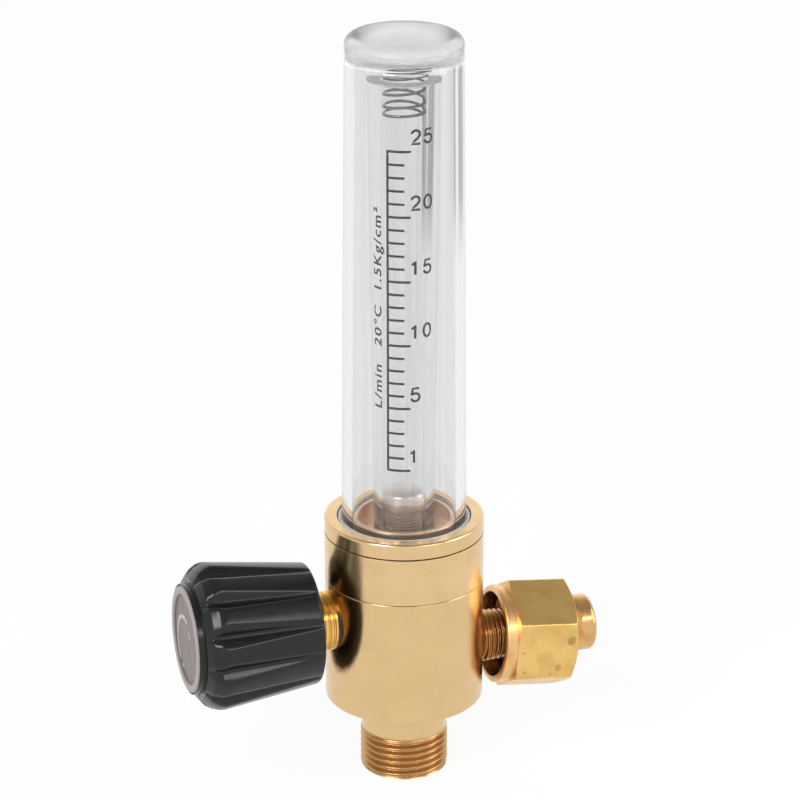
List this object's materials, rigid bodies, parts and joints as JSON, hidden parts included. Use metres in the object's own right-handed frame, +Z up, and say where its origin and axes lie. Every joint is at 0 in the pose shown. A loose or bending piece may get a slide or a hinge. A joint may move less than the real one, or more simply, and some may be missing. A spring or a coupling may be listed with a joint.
{
  "type": "oxygen flowmeter",
  "caption": "Gas flowmeter with a clear scaled tube, float and stop spring on a brass body, with a needle valve knob, screwed inlet and outlet nipple with a loose union nut.",
  "frame": {"origin": "on the inlet thread's axis, where its full thread starts above the chamfered tip", "axes": "+Z up the metering tube; -X out along the valve stem to the knob; +X out of the outlet; the scale faces -Y turned 17.5 degrees towards -X"},
  "size_m": [0.0805, 0.03, 0.1451],
  "materials": {
    "body_brass": "polished, fine turning lines",
    "filter_bronze": "sintered, dull",
    "spring_steel": "drawn wire",
    "clear_cover": "clear, polished",
    "clear_tube": "clear, polished, with a printed scale",
    "seal_rubber": "moulded",
    "seat_brass": "turned, dull",
    "float_metal": "turned, satin",
    "bonnet_brass": "turned, bright",
    "stem_steel": "turned",
    "knob_plastic": "glossy moulding",
    "cap_plastic": "matt, with a printed arc",
    "nipple_brass": "polished",
    "nut_brass": "brushed flats, small stains"
  },
  "bodies": {
    "housing": {"valve_body": "body_brass", "inlet_filter": "filter_bronze", "filter_ring": "spring_steel", "tube_ring_nut": "body_brass", "outer_cover": "clear_cover", "cover_gasket": "seal_rubber", "metering_tube": "clear_tube", "tube_seal": "seal_rubber", "float_seat": "seat_brass", "float_spring": "spring_steel", "bonnet": "bonnet_brass", "bonnet_seal": "seal_rubber", "stem_packing": "seal_rubber", "gland_bush": "bonnet_brass", "outlet_nipple": "nipple_brass"},
    "stem": {"valve_stem": "stem_steel"},
    "handle": {"knob": "knob_plastic", "knob_bushing": "bonnet_brass", "knob_screw": "stem_steel", "knob_cap": "cap_plastic"},
    "indicator": {"float": "float_metal"},
    "swivel_nut": {"union_nut": "nut_brass"}
  },
  "joints": [
    {"name": "stem_travel", "type": "slide", "parent": "housing", "child": "stem", "axis": [-1, 0, 0], "range_m": [0, 0.0015]},
    {"name": "knob_turn", "type": "hinge", "parent": "stem", "child": "handle", "pos_m": [-0.0186, 0, 0.0312], "axis": [-1, 0, 0], "range_deg": [0, 720]},
    {"name": "float_rise", "type": "slide", "parent": "housing", "child": "indicator", "axis": [0, 0, 1], "range_m": [0, 0.0713]},
    {"name": "nut_spin", "type": "hinge", "parent": "housing", "child": "swivel_nut", "pos_m": [0.03, 0, 0.02236], "axis": [0.9943, 0, -0.1063], "continuous": true}
  ],
  "couplings": [
    {"joint": "stem_travel", "follows": "knob_turn", "m_per_rad": 0.00011936}
  ]
}
